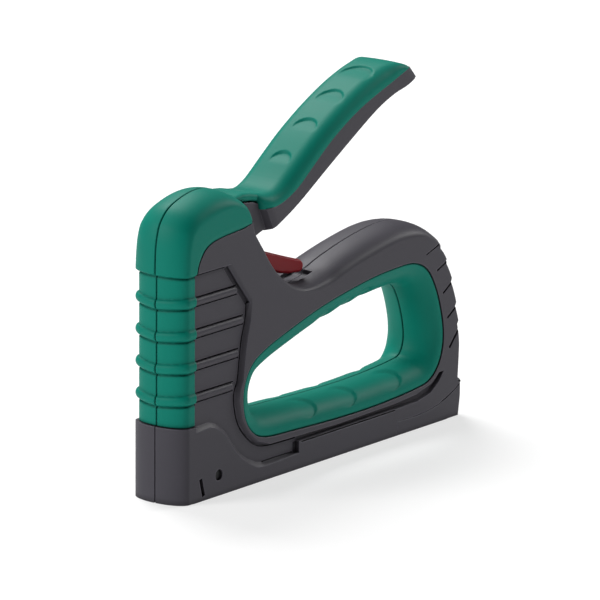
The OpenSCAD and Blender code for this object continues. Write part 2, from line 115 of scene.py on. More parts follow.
# How far the outer edge is rounded: X, Z, depth in the side view, depth across the body
ROUNDING = [(0, 0, 6, 14.6), (0, 100, 6, 14.6), (1.6, 118, 7, 14.6), (9.6, 128.4, 8.5, 14.6),
            (28, 133, 8.5, 14.6), (43, 129.3, 6, 13), (51, 118, 2.5, 6), (58.2, 103.1, 1.8, 3),
            (70.7, 88.7, 2.2, 3.5), (80.3, 82.9, 2.6, 5), (91, 81, 3, 8), (104, 83.6, 5.4, 12.5),
            (134, 91.4, 6.2, 13.5), (168, 93.6, 6.2, 13.5), (186, 85, 5, 13.5), (194, 70, 3.6, 14.6),
            (202, 20, 3.3, 14.6), (201.6, 0, 3.3, 14.6)]
# Grooves across the rear edge: X and Z of both ends, and the width
REAR_GROOVES = ((182, 69.7, 200, 77.3, 1.1), (186.5, 58.5, 204, 68.8, 1.1), (190, 46.7, 206, 56.4, 1.2),
                (191.6, 32.6, 207, 49, 1.4), (174, 78.5, 196, 85.4, 0.7))
SCREWS = ((28, 26), (36, 64), (34, 91), (68, 76), (140, 83.8), (194, 45))
# Thumb grooves of the lock lever
LEVER_GROOVES = ((84, 93.3), (87, 92.3), (90, 91.3))
# Imprints on the loop's bars: X, and 1 on the upper bar or 0 on the lower one
LOOP_CRESCENTS = ((90, 0), (119, 0), (152, 0), (99, 1), (115, 1), (129, 1))
# Imprints on the handle: X, reach along the handle and reach across it
HANDLE_CRESCENTS = ((138, 8.2, 8.2), (119.4, 6.8, 6.8), (102, 5.4, 6.2), (85, 4.6, 5.4))

# Springs: name, CAD node, body, joint that shortens them, its travel in metres, turns, lies along X
SPRINGS = (("drive_spring", "power_spring", "body", "plunger_slide", 0.0114, 9, False),
           ("feed_spring", "pusher_spring", "magazine", "pusher_slide", 0.1, 36, True))

PIVOT = (42, 112)  # the handle's hinge
LEVER_PIVOT = (56, 99.5)
WALL = 2.6  # thickness of the shells
SEAM_BEVEL = 0.35
BESIDE, ACROSS = -20, 1  # Y values past the right side and past the middle plane
CUT, JOIN, KEEP = "DIFFERENCE", "UNION", "INTERSECT"

# Camera: direction and tilt in degrees, then metres
CAMERA_TURN, CAMERA_RISE, CAMERA_ROLL = -52.44, 14.07, 0.286
CAMERA_RIGHT, CAMERA_UP, CAMERA_BACK = 0.0623, 0.0870, 3.4290613
# Lights: name, place and size in metres, power in watts
LIGHTS = (("key", (-1.5, 0.85, 0.9), 0.9, 24.0), ("overhead", (0.4, 0.9, 1.45), 0.9, 30.0),
          ("rim", (1.5, -0.6, 1.0), 0.6, 15.0), ("fill", (-0.6, -1.6, 0.6), 0.8, 2.0))
LIT_POINT = Vector((0, 0, 0.07))


# --- Sizes and finishes ---

def size(name, description, default, low=0.0):
    return bpy.props.FloatProperty(name=name, description=f"{description}, in mm", default=default,
                                   min=low)


def tone(name, description, default):
    return bpy.props.FloatVectorProperty(name=name, description=f"Colour of the {description}",
                                         subtype="COLOR", size=3, default=default)


class BodySizes(bpy.types.PropertyGroup):
    half_width: size("Half width", "From the seam to the side", 14.6, 10)
    seam: size("Seam", "Half of the gap between the shells", 0.12)
    step: size("Front step", "Depth of the front wall behind the dome", 1.15)
    panel_depth: size("Panel depth", "Depth of the sunk side panel", 1.9)
    rib_height: size("Rib height", "Height of the panel's ribs", 1.3)
    bulge: size("Loop bulge", "Height of the loop grip at the seam", 11.0)
    handle_half: size("Handle half width", "Half of the handle's width", 13.0)
    drive_wire: size("Drive wire", "Wire of the drive spring", 1.8)
    feed_wire: size("Feed wire", "Wire of the pusher spring", 0.6)
    camera_lens: size("Lens", "Focal length of the stage's camera", 480.0, 1.0)


class Finishes(bpy.types.PropertyGroup):
    charcoal: tone("Charcoal", "hard shells", (0.042, 0.039, 0.05))
    green: tone("Green", "soft grips", (0.0, 0.175, 0.128))
    red: tone("Red", "lock lever", (0.2, 0.001, 0.006))
    steel: tone("Steel", "bright steel", (0.56, 0.57, 0.59))


# --- Shader maths ---

class Wire:
    """A socket whose sums, differences and products add Math nodes."""

    def __init__(self, tree, socket):
        self.tree, self.socket = tree, socket

    def _math(self, operation, *values):
        node = self.tree.nodes.new("ShaderNodeMath")
        node.operation = operation
        for slot, value in zip(node.inputs, values):
            plug(self.tree, slot, value)
        return Wire(self.tree, node.outputs[0])

    def __add__(self, other):
        return self._math("ADD", self, other)

    def __radd__(self, other):
        return self._math("ADD", other, self)

    def __sub__(self, other):
        return self._math("SUBTRACT", self, other)

    def __rsub__(self, other):
        return self._math("SUBTRACT", other, self)

    def __mul__(self, other):
        return self._math("MULTIPLY", self, other)

    def __rmul__(self, other):
        return self._math("MULTIPLY", other, self)

    def clamped(self):
        """The value kept between 0 and 1."""
        return self._math("MINIMUM", self._math("MAXIMUM", self, 0.0), 1.0)


def plug(tree, slot, value):
    """Links a wire to a socket, or sets a plain value on it."""
    if isinstance(value, Wire):
        tree.links.new(value.socket, slot)
    else:
        slot.default_value = value


class Recipe:
    """A material under construction."""

    def __init__(self, name):
        self.material = bpy.data.materials.new(name)
        self.material.use_nodes = True
        self.tree = self.material.node_tree
        self.shader = self.tree.nodes["Principled BSDF"]

    def node(self, kind, settings=(), out=0, **sockets):
        """Adds a node. Its sockets go by name, with _ for a space, or by place as i0 and i1."""
        made = self.tree.nodes.new(kind)
        for key, value in dict(settings).items():
            setattr(made, key, value)
        for key, value in sockets.items():
            by_place = key[0] == "i" and key[1:].isdigit()
            slot = made.inputs[int(key[1:]) if by_place else key.replace("_", " ")]
            plug(self.tree, slot, value)
        return Wire(self.tree, made.outputs[out])

    def place(self):
        return self.node("ShaderNodeTexCoord", out="Object")

    def noise(self, scale, detail=2.0, where=None):
        return self.node("ShaderNodeTexNoise", out="Fac", Scale=scale, Detail=detail,
                         Vector=where or self.place())

    def stretched(self, scale):
        return self.node("ShaderNodeMapping", Vector=self.place(), Scale=scale)

    def hollows(self, reach):
        """1 deep in creases and gaps, 0 on open faces: an occlusion mask that the materials use to
        paint shade into their colour.
        """
        made = self.node("ShaderNodeAmbientOcclusion", {"samples": 8}, out="AO", Distance=reach)
        return (1.0 - made).clamped()

    def edges(self, radius):
        """1 on rounded-over corners, 0 on open faces: the mask for paler edges, part wear and part
        painted highlight.
        """
        soft = self.node("ShaderNodeBevel", {"samples": 4}, Radius=radius)
        true = self.node("ShaderNodeNewGeometry", out="Normal")
        same = self.node("ShaderNodeVectorMath", {"operation": "DOT_PRODUCT"}, out="Value", i0=soft,
                         i1=true)
        return ((1.0 - same) * 6.0).clamped()

    def blend(self, share, one, two):
        """A mix of two colours, each a wire or three numbers."""
        one, two = (color if isinstance(color, Wire) else (*color, 1.0) for color in (one, two))
        return self.node("ShaderNodeMix", {"data_type": "RGBA"}, out=2, i0=share, i6=one, i7=two)

    def bump(self, height, distance, strength, radius=0.0):
        """A bumped normal, with edges that look rounded to a radius."""
        sockets = {"Height": height, "Distance": distance, "Strength": strength}
        if radius:
            sockets["Normal"] = self.node("ShaderNodeBevel", {"samples": 4}, Radius=radius)
        return self.node("ShaderNodeBump", **sockets)

    def finish(self, color, roughness, normal=None, **constants):
        plug(self.tree, self.shader.inputs["Base Color"], color)
        plug(self.tree, self.shader.inputs["Roughness"], roughness)
        if normal is not None:
            plug(self.tree, self.shader.inputs["Normal"], normal)
        for key, value in constants.items():
            self.shader.inputs[key.replace("_", " ")].default_value = value
        return self.material


def shade(color, factor):
    return tuple(min(1.0, c * factor) for c in color)


def hard_plastic(name, color):
    """Moulded plastic with a fine spark texture, paler and smoother edges that are part wear and part
    painted highlight, and painted shade in its creases.
    """
    m = Recipe(name)
    edge_wear_and_highlight, deep = m.edges(0.0009), m.hollows(0.0028)
    grain, cloud = m.noise(2600.0, 2.0), m.noise(45.0, 3.0)
    base = m.blend(cloud * 0.5 + grain * 0.35, shade(color, 0.82), shade(color, 1.2))
    # Painted highlight, partly wear: the edges are lightened towards 2.8 times the colour.
    tint = m.blend(edge_wear_and_highlight * (0.45 + cloud * 0.4), base, shade(color, 2.8))
    # Painted shade: creases and gaps are darkened to about an eighth of the colour.
    tint = m.blend((deep * 1.25).clamped(), tint, shade(color, 0.12))
    rough = 0.44 + cloud * 0.1 + grain * 0.06 - edge_wear_and_highlight * 0.08 + deep * 0.3
    return m.finish(tint, rough, m.bump(grain, 0.00006, 0.55, 0.00045), IOR=1.5, Specular_IOR_Level=0.3)


def soft_rubber(name, color):
    """Overmoulded elastomer: satin and finely stippled, with painted shade in the hollows and slightly
    paler edges that are part wear and part painted highlight.
    """
    m = Recipe(name)
    edge_wear_and_highlight, deep = m.edges(0.0009), m.hollows(0.0022)
    grain, cloud = m.noise(2100.0, 3.0), m.noise(38.0, 4.0)
    base = m.blend(cloud * 0.55 + grain * 0.3, shade(color, 0.86), shade(color, 1.14))
    # Painted highlight, partly wear: the edges are made a little lighter.
    tint = m.blend(edge_wear_and_highlight * 0.18, base, tuple(c * 1.2 + 0.01 for c in color))
    # Painted shade: the hollows are darkened to a fifth of the colour.
    tint = m.blend((deep * 1.4).clamped(), tint, shade(color, 0.2))
    rough = 0.42 + cloud * 0.12 + grain * 0.08 + deep * 0.3
    return m.finish(tint, rough, m.bump(grain, 0.00007, 0.5, 0.0005), IOR=1.48, Specular_IOR_Level=0.12)


def gloss_plastic(name, color):
    """Shiny moulded plastic with faint clouds and specks."""
    m = Recipe(name)
    edge_wear_and_highlight = m.edges(0.0007)
    cloud, fleck = m.noise(60.0, 3.0), m.noise(900.0, 2.0)
    # Painted highlight, partly wear: the edges are lightened, together with the faint clouds.
    tint = m.blend(edge_wear_and_highlight * 0.4 + cloud * 0.3, shade(color, 0.8), shade(color, 1.4))
    rough = 0.26 + cloud * 0.12 + fleck * 0.05
    return m.finish(tint, rough, m.bump(fleck, 0.00004, 0.3, 0.0005), IOR=1.52, Specular_IOR_Level=0.12)


def brushed_steel(name, color, roughness, grain_scale):
    """Sheet or wire steel with fine draw lines and bright rubbed edges."""
    m = Recipe(name)
    edge_wear_and_highlight = m.edges(0.0005)
    lines = m.noise(900.0, 3.0, m.stretched(grain_scale))
    stain = m.noise(70.0, 4.0)
    base = m.blend(stain * 0.6 + lines * 0.3, shade(color, 0.72), shade(color, 1.1))
    tint = m.blend(edge_wear_and_highlight * 0.6, base, shade(color, 1.5))
    rough = roughness + stain * 0.14 + lines * 0.1
    return m.finish(tint, rough, m.bump(lines, 0.00003, 0.35), Metallic=1.0)


def black_rubber(name):
    """Matt black rubber with a coarse grain."""
    m = Recipe(name)
    grain, cloud = m.noise(1500.0, 3.0), m.noise(50.0, 3.0)
    tint = m.blend(cloud, (0.012, 0.012, 0.013), (0.035, 0.034, 0.034))
    return m.finish(tint, 0.7 + cloud * 0.15, m.bump(grain, 0.0001, 0.6))


# --- Curves ---

def smooth_line(points, steps, closed=False):
    """A Catmull-Rom curve through points, with a number of steps between each two."""
    n = len(points)
    line = []
    for i in range(n if closed else n - 1):
        near = (i - 1, i, i + 1, i + 2)
        a, b, c, d = (points[k % n] if closed else points[min(max(k, 0), n - 1)] for k in near)
        for k in range(steps):
            t = k / steps
            line.append(tuple(0.5 * (2 * b[j] + (c[j] - a[j]) * t
                                     + (2 * a[j] - 5 * b[j] + 4 * c[j] - d[j]) * t * t
                                     + (3 * b[j] - a[j] - 3 * c[j] + d[j]) * t ** 3) for j in (0, 1)))
    return line if closed else line + [tuple(points[-1])]


def along(line, shares):
    """Points at shares of a line's length."""
    reach = [0.0]
    for a, b in zip(line, line[1:]):
        reach.append(reach[-1] + math.dist(a, b))
    found, i = [], 0
    for share in shares:
        want = share * reach[-1]
        while i < len(line) - 2 and reach[i + 1] < want:
            i += 1
        while i > 0 and reach[i] > want:
            i -= 1
        t = (want - reach[i]) / max(reach[i + 1] - reach[i], 1e-9)
        found.append(tuple(p + (q - p) * t for p, q in zip(line[i], line[i + 1])))
    return found


def length_of(line):
    return sum(math.dist(a, b) for a, b in zip(line, line[1:]))


def evenly(line, step):
    """The same line in steps of one length, as close to the wanted step as fits."""
    n = max(1, round(length_of(line) / step))
    return along(line, [i / n for i in range(n + 1)])


def inset(points, amounts):
    """A closed outline with each side moved inwards by its own amount."""
    straight = 0.2  # sine of the angle below which a corner counts as straight
    longest = 1.6  # how far a sharp corner may move, as a share of its sides' moves
    area = sum(p[0] * q[1] - q[0] * p[1] for p, q in zip(points, points[1:] + points[:1]))
    turn = 1 if area > 0 else -1
    normals = []
    for p, q in zip(points, points[1:] + points[:1]):
        d = math.dist(p, q) or 1.0
        normals.append((-(q[1] - p[1]) / d * turn, (q[0] - p[0]) / d * turn))
    moved = []
    for i, (x, z) in enumerate(points):
        (ax, az), (bx, bz) = normals[i - 1], normals[i]
        da, db = amounts[i - 1], amounts[i]
        det = ax * bz - az * bx
        if abs(det) < straight:
            nx, nz = ax + bx, az + bz
            size = math.hypot(nx, nz)
            move = (da + db) / 2 / max(size / 2, 0.5)
            moved.append((x + nx / size * move, z + nz / size * move))
        else:
            mx, mz = (da * bz - db * az) / det, (ax * db - bx * da) / det
            limit = longest * max(abs(da), abs(db), 1e-6) / max(math.hypot(mx, mz), 1e-9)
            moved.append((x + mx * min(1.0, limit), z + mz * min(1.0, limit)))
    return moved


def eased(t):
    """A smooth rise from 0 to 1."""
    t = min(1.0, max(0.0, t))
    return t * t * (3 - 2 * t)


# --- Mesh helpers ---

def sheet(nu, nv, place, close_u=False, close_v=False):
    """A grid of nu by nv faces whose corner i, j goes to place(i, j), in millimetres."""
    bm = bmesh.new()
    bmesh.ops.create_grid(bm, x_segments=nu, y_segments=nv, size=1)
    for v in bm.verts:
        i, j = round((v.co.x + 1) / 2 * nu), round((v.co.y + 1) / 2 * nv)
        v.co = place(i % nu if close_u else i, j % nv if close_v else j)
    bmesh.ops.remove_doubles(bm, verts=bm.verts, dist=1e-4)
    return bm


def close_ends(bm):
    """Fills the open ends of a tube."""
    bmesh.ops.holes_fill(bm, edges=[e for e in bm.edges if e.is_boundary], sides=0)
    return outwards(bm)


def outwards(bm):
    """Turns all faces of a closed mesh outwards."""
    bmesh.ops.recalc_face_normals(bm, faces=bm.faces)
    if bm.calc_volume(signed=True) < 0:
        bmesh.ops.reverse_faces(bm, faces=bm.faces)
    return bm


def stacked(rings):
    """A closed solid through rings of equally many points."""
    n = len(rings[0])
    return close_ends(sheet(n, len(rings) - 1, lambda i, j: rings[j][i], close_u=True))


def slab(outline, y0, y1):
    """A plate with an outline in the side view."""
    return stacked([[(x, y, z) for x, z in outline] for y in (y0, y1)])


def arc(x, z, r, start, end, step):
    """Points round a circle, from one angle to another in degrees."""
    count = round(abs(end - start) / step)
    turns = [math.radians(start + (end - start) * i / count) for i in range(count + 1)]
    return [(x + r * math.cos(a), z + r * math.sin(a)) for a in turns]


def box(x0, x1, y0, y1, z0, z1):
    return slab([(x0, z0), (x1, z0), (x1, z1), (x0, z1)], y0, y1)


def round_slab(outline, half, depth, across):
    """A slab from 0 to -half whose far edge is rounded by depth in the side view and across along Y."""
    steps = 6
    rings = [[(x, 0.0, z) for x, z in outline]]
    for k in range(steps + 1):
        a = math.pi / 2 * k / steps
        ring = inset(outline, [depth * (1 - math.cos(a))] * len(outline))
        rings.append([(x, -(half - across) - across * math.sin(a), z) for x, z in ring])
    return stacked(rings)


def double_sided(bm):
    """Adds the mirror image across the middle plane and joins the two."""
    bmesh.ops.mirror(bm, geom=bm.verts[:] + bm.edges[:] + bm.faces[:], axis="Y", merge_dist=0.001)
    inner = [f for f in bm.faces if all(abs(v.co.y) < 1e-4 for v in f.verts)]
    bmesh.ops.delete(bm, geom=inner, context="FACES")
    bmesh.ops.remove_doubles(bm, verts=bm.verts, dist=0.001)
    return outwards(bm)


def mirrored(bm):
    """A copy on the other side of the middle plane."""
    other = bm.copy()
    bmesh.ops.scale(other, vec=(1, -1, 1), verts=other.verts)
    bmesh.ops.reverse_faces(other, faces=other.faces)
    return other


def thing(bm, name):
    """A new object in the scene from a mesh, which is freed."""
    mesh = bpy.data.meshes.new(name)
    bm.to_mesh(mesh)
    bm.free()
    made = bpy.data.objects.new(name, mesh)
    bpy.context.scene.collection.objects.link(made)
    return made


def carved(bm, *cuts):
    """The solid after each (operation, tool) in turn."""
    body = thing(bm, "work")
    tools = []
    for operation, tool in cuts:
        tools.append(thing(tool, "tool"))
        cut = body.modifiers.new("cut", "BOOLEAN")
        cut.operation, cut.solver, cut.object = operation, "MANIFOLD", tools[-1]
    bpy.context.view_layer.update()
    result = bmesh.new()
    result.from_object(body, bpy.context.evaluated_depsgraph_get())
    for obj in [body, *tools]:
        mesh = obj.data
        bpy.data.objects.remove(obj)
        bpy.data.meshes.remove(mesh)
    bmesh.ops.remove_doubles(result, verts=result.verts, dist=0.001)
    bmesh.ops.dissolve_degenerate(result, dist=0.001, edges=result.edges)
    return result


def piece(bm, name, body, nodes, material, sharp=32.0):
    """Turns a millimetre mesh into a finished piece that rides on a body and replaces CAD nodes."""
    for v in bm.verts:
        v.co = Vector((NOSE_X + v.co.x / 1000, v.co.y / 1000, v.co.z / 1000))
    for e in bm.edges:
        e.smooth = e.calc_face_angle(0.0) < math.radians(sharp)
    for f in bm.faces:
        f.smooth = True
    made = thing(bm, name)
    made.data.materials.append(material)
    even = made.modifiers.new("even shading", "WEIGHTED_NORMAL")
    even.keep_sharp = True
    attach(made, body)
    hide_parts(*nodes)
    return made


# --- Body outline ---

def body_outline():
    """The whole body in the side view, clockwise from the nose."""
    outline = evenly(smooth_line(FRONT_AND_DOME, 6) + smooth_line(REAR_OF_COLUMN, 6), 1.7)
    outline += evenly(smooth_line(REAR_EDGE, 6), 0.7)[1:]
    outline += evenly([REAR_EDGE[-1]] + REAR_FOOT, 1.2)[1:]
    return outline + BOTTOM


def tooth(x, z):
    """How far the stepped rear edge stands back at a height."""
    if x < 184 or not NOTCHES[-1] < z < NOTCHES[0]:
        return 0.0
    above = min(n for n in NOTCHES if n >= z)
    below = max(n for n in NOTCHES if n < z)
    deepest = 1.25
    return deepest * ((z - below) / (above - below)) ** 1.3


def rounding(outline):
    """Depth in the side view and depth across the body, for each corner."""
    marks = []
    for x, z, depth, across in ROUNDING:
        near = min(range(len(outline)), key=lambda i: math.dist(outline[i], (x, z)))
        marks.append((near, depth, across))
    marks.sort()
    found = []
    for i in range(len(outline)):
        before = max((m for m in marks if m[0] <= i), default=marks[0])
        after = min((m for m in marks if m[0] >= i), default=marks[-1])
        t = (i - before[0]) / max(1, after[0] - before[0])
        found.append((before[1] + (after[1] - before[1]) * t, before[2] + (after[2] - before[2]) * t))
    return found


def body_half(sizes, seam, shrink=0.0):
    """Right half of the whole body as a rounded solid, with its outside shrunk by an amount."""
    outline = body_outline()
    depths = rounding(outline)
    n, half, levels = len(outline), sizes.half_width, 9
    first_low = n - len(BOTTOM)

    def ring(share, extra):
        amounts = []
        for i in range(n):
            deep = 0.3 if i >= first_low - 1 else (depths[i][0] + depths[(i + 1) % n][0]) / 2
            notch = 0.0 if i >= first_low - 1 else tooth(*outline[i])
            amounts.append(deep * share + extra + notch)
        return inset(outline, amounts)

    if seam:
        rings = [[(x, -seam, z) for x, z in ring(0, shrink + SEAM_BEVEL)],
                 [(x, -seam - SEAM_BEVEL, z) for x, z in ring(0, shrink)]]
    else:
        rings = [[(x, 0.0, z) for x, z in ring(0, shrink)]]
    for k in range(levels + 1):
        a = math.pi / 2 * k / levels
        level = []
        for i, (x, z) in enumerate(ring(1 - math.cos(a), shrink)):
            across = min(depths[i][1] if i < first_low else 0.4, half - seam - 0.4)
            level.append((x, -(half - shrink - across) - across * math.sin(a), z))
        rings.append(level)
    return stacked(rings)


def front_zone():
    """What the front grip takes from the shell in the side view, with its edge behind the grip's."""
    back = 11.45
    edge = [(x - 11.3 + back if z < 101 else x, z) for x, z in smooth_line(GRIP_EDGE, 4)]
    return [(-6, 33.8), (back, 33.8)] + edge + [(62, 119), (62, 141), (-6, 141)]


def cap_zone(gap):
    """What the rear foot takes in the side view, and a gap around it."""
    edge = [(x, z + gap) for x, z in smooth_line(CAP_EDGE, 4)][1:]
    return [(154 - gap, -2), (154 - gap, 6.6 + gap)] + edge + [(212, -2)]


def tilted(x0, z0, x1, z1, thick, y0, y1):
    """A thin slab along a line in the side view."""
    d = math.dist((x0, z0), (x1, z1))
    nx, nz = -(z1 - z0) / d * thick / 2, (x1 - x0) / d * thick / 2
    low, high = [(x0 - nx, z0 - nz), (x1 - nx, z1 - nz)], [(x1 + nx, z1 + nz), (x0 + nx, z0 + nz)]
    return slab(low + high, y0, y1)


def groove(points, width, y0, y1):
    """A slot of even width along a line in the side view."""
    left, right = [], []
    for i, (x, z) in enumerate(points):
        a, b = points[max(0, i - 1)], points[min(len(points) - 1, i + 1)]
        d = math.dist(a, b)
        nx, nz = -(b[1] - a[1]) / d * width / 2, (b[0] - a[0]) / d * width / 2
        left.append((x + nx, z + nz))
        right.append((x - nx, z - nz))
    return slab(left + right[::-1], y0, y1)


def merged(*meshes):
    """Several separate solids in one mesh."""
    bm = bmesh.new()
    for part in meshes:
        mesh = bpy.data.meshes.new("part")
        part.to_mesh(mesh)
        part.free()
        bm.from_mesh(mesh)
        bpy.data.meshes.remove(mesh)
    return bm


def disc(x, z, r, y0, y1, sides=32):
    """A round bar along Y."""
    return slab(arc(x, z, r, 0, 360, 360 / sides)[:-1], y0, y1)


def panel_tool(sizes):
    """Sunk side panel with sloping walls that are widest beside the saddle."""
    half, deep = sizes.half_width, sizes.panel_depth
    slopes = []
    for i, (x0, z0) in enumerate(PANEL):
        x1, z1 = PANEL[(i + 1) % len(PANEL)]
        x, z = (x0 + x1) / 2, (z0 + z1) / 2
        if x < 11 or (z > 100 and x0 > x1):  # the front and top sides
            slopes.append(0.3)
        elif z > 78:  # beside the saddle
            slopes.append(2.8)
        elif z > 15.6 and x > 36 and i > len(PANEL) // 2:  # beside the loop
            slopes.append(1.5)
        elif x < 58:  # over the nose
            slopes.append(2.0)
        else:
            slopes.append(0.5)
    rings = []
    levels = ((0.0, -(half - deep)), (0.55, -(half - deep * 0.3)), (1.0, -half), (1.05, -half - 0.6))
    for share, y in levels:
        rings.append([(x, y, z) for x, z in inset(PANEL, [-slope * share for slope in slopes])])
    return stacked(rings)


def rib_bar(sizes, z, x1):
    """Rounded bar on the panel, level with a ring of the front wall."""
    floor, high = -(sizes.half_width - sizes.panel_depth), sizes.rib_height
    tall, run = 1.75, 1.7  # half of the bar's height, length of its rounded end
    stations = [(10.8, 1.0)]
    stations += [(x1 - d, math.sqrt(max(0.0, 1 - ((run - d) / run) ** 2)))
                 for d in (run, 1.2, 0.7, 0.3, 0.08)]

    def place(i, j):
        x, share = stations[i]
        if j in (0, 10):
            return (x, floor + 0.5, z + (tall if j == 0 else -tall) * share)
        a = math.pi * (j - 1) / 8
        return (x, floor - high * math.sin(a) * share, z + tall * math.cos(a) * share)
    return close_ends(sheet(len(stations) - 1, 11, place, close_v=True))


def dome_slot():
    """Cuts for the slot in the dome that the handle turns in."""
    return ((CUT, disc(*PIVOT, 16.4, -9.6, ACROSS, 64)), (CUT, box(42.5, 82, -9.6, ACROSS, 100.2, 142)))


def shell_solid(sizes):
    """Right shell: rounded outside and hollow inside, with its panel, ribs, slots and grooves."""
    half = sizes.half_width
    side = half - sizes.panel_depth  # the sunk panel's face
    loop = smooth_line(LOOP, 4, closed=True)
    inner = carved(body_half(sizes, 0.0, WALL),
                   (CUT, slab(inset(loop, [-WALL] * len(loop)), BESIDE, ACROSS)),
                   (CUT, slab(cap_zone(WALL), BESIDE, ACROSS)),
                   (KEEP, box(-1, 204, -11.7, -0.02, -1, 140)))
    teeth = carved(merged(*[tilted(*line, BESIDE, ACROSS) for line in REAR_GROOVES]),
                   (CUT, body_half(sizes, 0.0, 0.75)))
    beside_ribs = [tilted(11.5, z + d, x + 0.3, z + d, 0.55, BESIDE, -(side - 0.9))
                   for z, x in RIBS for d in (-2.0, 2.0)]
    return carved(
        body_half(sizes, sizes.seam),
        (CUT, slab(loop, BESIDE, ACROSS)),
        (CUT, slab(cap_zone(0.25), BESIDE, ACROSS)),
        (CUT, slab(front_zone(), BESIDE, ACROSS)),
        (CUT, panel_tool(sizes)),
        *((JOIN, rib_bar(sizes, z, x)) for z, x in RIBS),
        *((CUT, line) for line in beside_ribs),
        (CUT, groove(smooth_line(PANEL_BACK, 5), 0.9, BESIDE, -(side - 0.8))),
        (CUT, groove(PANEL_TOP_WALL, 2.0, BESIDE, -(side - 0.5))),
        (CUT, groove(LOOP_LINE, 0.8, BESIDE, -(half - 1.5))),
        (CUT, tilted(11.5, 100.2, 31.8, 100.2, 0.7, BESIDE, -(side - 0.7))),
        (CUT, groove(smooth_line(CAP_EDGE[3:], 5), 0.9, BESIDE, -(half - 1.2))),
        (CUT, inner),
        (CUT, teeth),
        # The step and the two grooves under the loop, and the slit and the pin hole at the nose
        (CUT, box(80, 82.5, BESIDE, -(half - 2.6), 7.5, 12.4)),
        (CUT, box(84, 152, BESIDE, -(half - 1.6), 11.7, 12.35)),
        (CUT, tilted(58, 8.2, 79.6, 8.1, 0.6, BESIDE, -(side - 0.7))),
        (CUT, tilted(13.3, 10.2, 15.4, 2.2, 2.1, BESIDE, -(half - 2.2))),
        (CUT, disc(26, 9.4, 2.5, BESIDE, ACROSS)),
        # The magazine's room, the lever's slot and the handle's slot
        (CUT, box(4.5, 204, -7, ACROSS, -1, 14.1)),
        (CUT, slab(LEVER_SLOT, -5.5, ACROSS)),
        *dome_slot(),
    )


def rounding_near(marks, x, z):
    """Depth in the side view and depth across the body, between the two nearest marks."""
    one, two = sorted(marks, key=lambda m: math.dist((m[0], m[1]), (x, z)))[:2]
    d1, d2 = (math.dist((m[0], m[1]), (x, z)) for m in (one, two))
    t = d1 / max(d1 + d2, 1e-6)
    return one[2] + (two[2] - one[2]) * t, one[3] + (two[3] - one[3]) * t


def front_grip_solid(sizes):
    """Right half of the soft skin on the ringed front wall and the dome, from the seam to the side."""
    half, step = sizes.half_width, sizes.step
    wall = evenly([(0, 34.15), (0, 100)], 0.32)
    rise = [(0, 100)] + [p for p in smooth_line(FRONT_AND_DOME, 8) if p[1] > 100.2 or p[0] > 1]
    # The dome starts with short steps, so that its lower edge stays crisp
    short, fine, coarse, total = 0.45, 8, 66, length_of(rise)
    done = short * fine
    shares = [short * (i + 1) / total for i in range(fine)]
    shares += [(done + (total - done) * (i + 1) / coarse) / total for i in range(coarse)]
    dome = along(rise, shares)
    stations = wall + dome
    edge = smooth_line(GRIP_EDGE[:-1] + [(48.9, 116.2)], 8)
    ends = [(11.15, z) for _, z in wall] + along(edge, [i / (len(dome) - 1) for i in range(len(dome))])
    last = len(stations) - 1
    slope = []
    for i in range(last + 1):
        a, b = stations[max(0, i - 1)], stations[min(last, i + 1)]
        d = math.dist(a, b)
        slope.append(((b[1] - a[1]) / d, -(b[0] - a[0]) / d))
    marks = [m for m in ROUNDING if m[0] < 52 and m[1] > 50]
    depth = [(6.0, 14.6) if z <= 100 else rounding_near(marks, x, z) for x, z in stations]
    for _ in range(3):
        depth = [tuple((depth[max(0, i - 1)][k] + depth[i][k] + depth[min(last, i + 1)][k]) / 3
                       for k in (0, 1)) for i in range(last + 1)]

    def sunk(z, y):
        """How far the wall stands back at a height, with its rings and the creases below them."""
        if z > 101.5:
            return 0.0
        gaps = [z - ring - 1.2 * abs(y) / half for ring in RINGS]
        rings = [math.sqrt(max(0.0, 1 - (gap / 2.15) ** 2)) for gap in gaps]
        creases = [0.5 * math.exp(-((gap + 2.75) / 0.4) ** 2) for gap in gaps]
        below_dome = 0.4 * math.exp(-((z - 99.7) / 0.45) ** 2)
        return step * (1 - max(eased((z - 99.9) / 0.9), *rings) + (below_dome + sum(creases)))

    turn, flat = 22, 7  # faces round the corner and on the side

    def place(i, j):
        (x, z), (nx, nz), (deep, across) = stations[i], slope[i], depth[i]
        across = min(across, half - sizes.seam - 0.4)
        if j == 0:
            back = sunk(z, 0) + 0.4
            return (x + nx * back, -sizes.seam, z + nz * back)
        a = math.pi / 2 * min(1.0, (j - 1) / turn)
        y = -(half - across) - across * math.sin(a)
        back = sunk(z, y)
        move = back + deep * (1 - math.cos(a))
        px, pz = x + nx * move, z + nz * move
        y = max(y, -(half - back)) if a >= math.pi / 2 - 1e-6 else y * (half - back) / half
        if j > turn + 1:
            t = (j - turn - 1) / flat
            px, pz = px + (ends[i][0] - px) * t, pz + (ends[i][1] - pz) * t
            if j == turn + 1 + flat:
                y += 0.5
        return (px, y, pz)

    bm = sheet(last, turn + 1 + flat, place)
    bmesh.ops.recalc_face_normals(bm, faces=bm.faces)
    outer = next(f for f in bm.faces if f.calc_center_median().y < -half + 2)
    if outer.normal.y > 0:
        bmesh.ops.reverse_faces(bm, faces=bm.faces)
    bmesh.ops.solidify(bm, geom=bm.faces[:], thickness=1.9)
    return outwards(bm)


